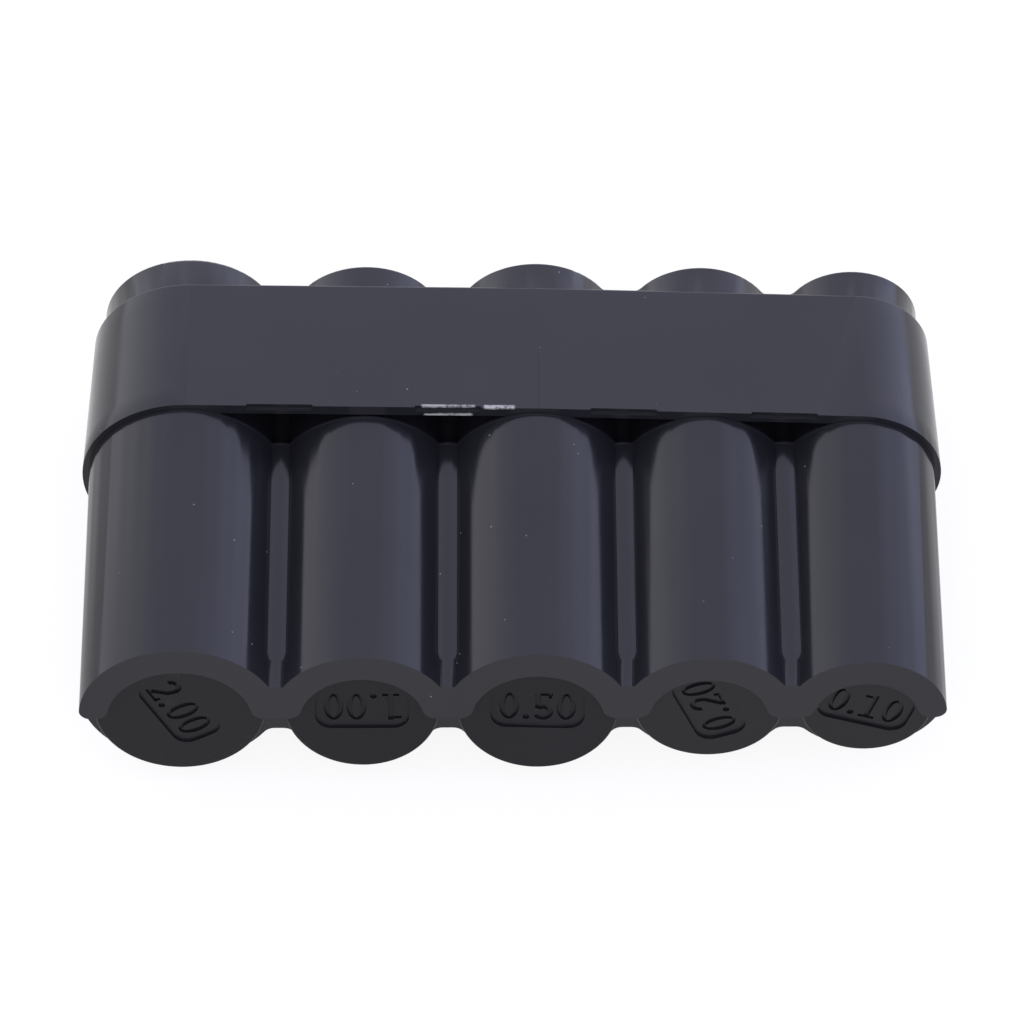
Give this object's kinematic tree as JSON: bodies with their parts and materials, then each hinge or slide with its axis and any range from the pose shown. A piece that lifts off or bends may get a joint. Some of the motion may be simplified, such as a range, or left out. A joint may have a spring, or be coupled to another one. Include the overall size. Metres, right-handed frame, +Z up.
{
  "type": "pocket coin dispenser",
  "caption": "Pocket coin sorter: five spring-loaded tubes in a row, a half-moon lip at the mouths, a banded closing cap.",
  "frame": {"origin": "middle of the object's bounding box in X and Y, at the lowest point of the back it lies on", "axes": "+X across the tubes from the widest to the narrowest, +Y along the tubes from the dispensing end to the closed end, +Z up from the back it lies on to the front"},
  "size_m": [0.131, 0.081, 0.032],
  "materials": {
    "body_plastic": "satin black moulded plastic",
    "cap_plastic": "satin black moulded plastic",
    "pusher_plastic": "semi-matt black moulded plastic",
    "spring_steel": "bright spring wire"
  },
  "bodies": {
    "housing": {"tube_body": "body_plastic", "base_cap": "cap_plastic", "spring_200": "spring_steel", "spring_100": "spring_steel", "spring_050": "spring_steel", "spring_020": "spring_steel", "spring_010": "spring_steel"},
    "pusher_200": {"pusher_200": "pusher_plastic"},
    "pusher_100": {"pusher_100": "pusher_plastic"},
    "pusher_050": {"pusher_050": "pusher_plastic"},
    "pusher_020": {"pusher_020": "pusher_plastic"},
    "pusher_010": {"pusher_010": "pusher_plastic"}
  },
  "joints": [
    {"name": "push_200", "type": "slide", "parent": "housing", "child": "pusher_200", "axis": [0, 1, 0], "range_m": [0, 0.06], "stiffness_N_per_m": 30, "springref_m": -0.03, "deforming": ["spring_200"]},
    {"name": "push_100", "type": "slide", "parent": "housing", "child": "pusher_100", "axis": [0, 1, 0], "range_m": [0, 0.06], "stiffness_N_per_m": 30, "springref_m": -0.03, "deforming": ["spring_100"]},
    {"name": "push_050", "type": "slide", "parent": "housing", "child": "pusher_050", "axis": [0, 1, 0], "range_m": [0, 0.06], "stiffness_N_per_m": 30, "springref_m": -0.03, "deforming": ["spring_050"]},
    {"name": "push_020", "type": "slide", "parent": "housing", "child": "pusher_020", "axis": [0, 1, 0], "range_m": [0, 0.06], "stiffness_N_per_m": 30, "springref_m": -0.03, "deforming": ["spring_020"]},
    {"name": "push_010", "type": "slide", "parent": "housing", "child": "pusher_010", "axis": [0, 1, 0], "range_m": [0, 0.06], "stiffness_N_per_m": 30, "springref_m": -0.03, "deforming": ["spring_010"]}
  ]
}
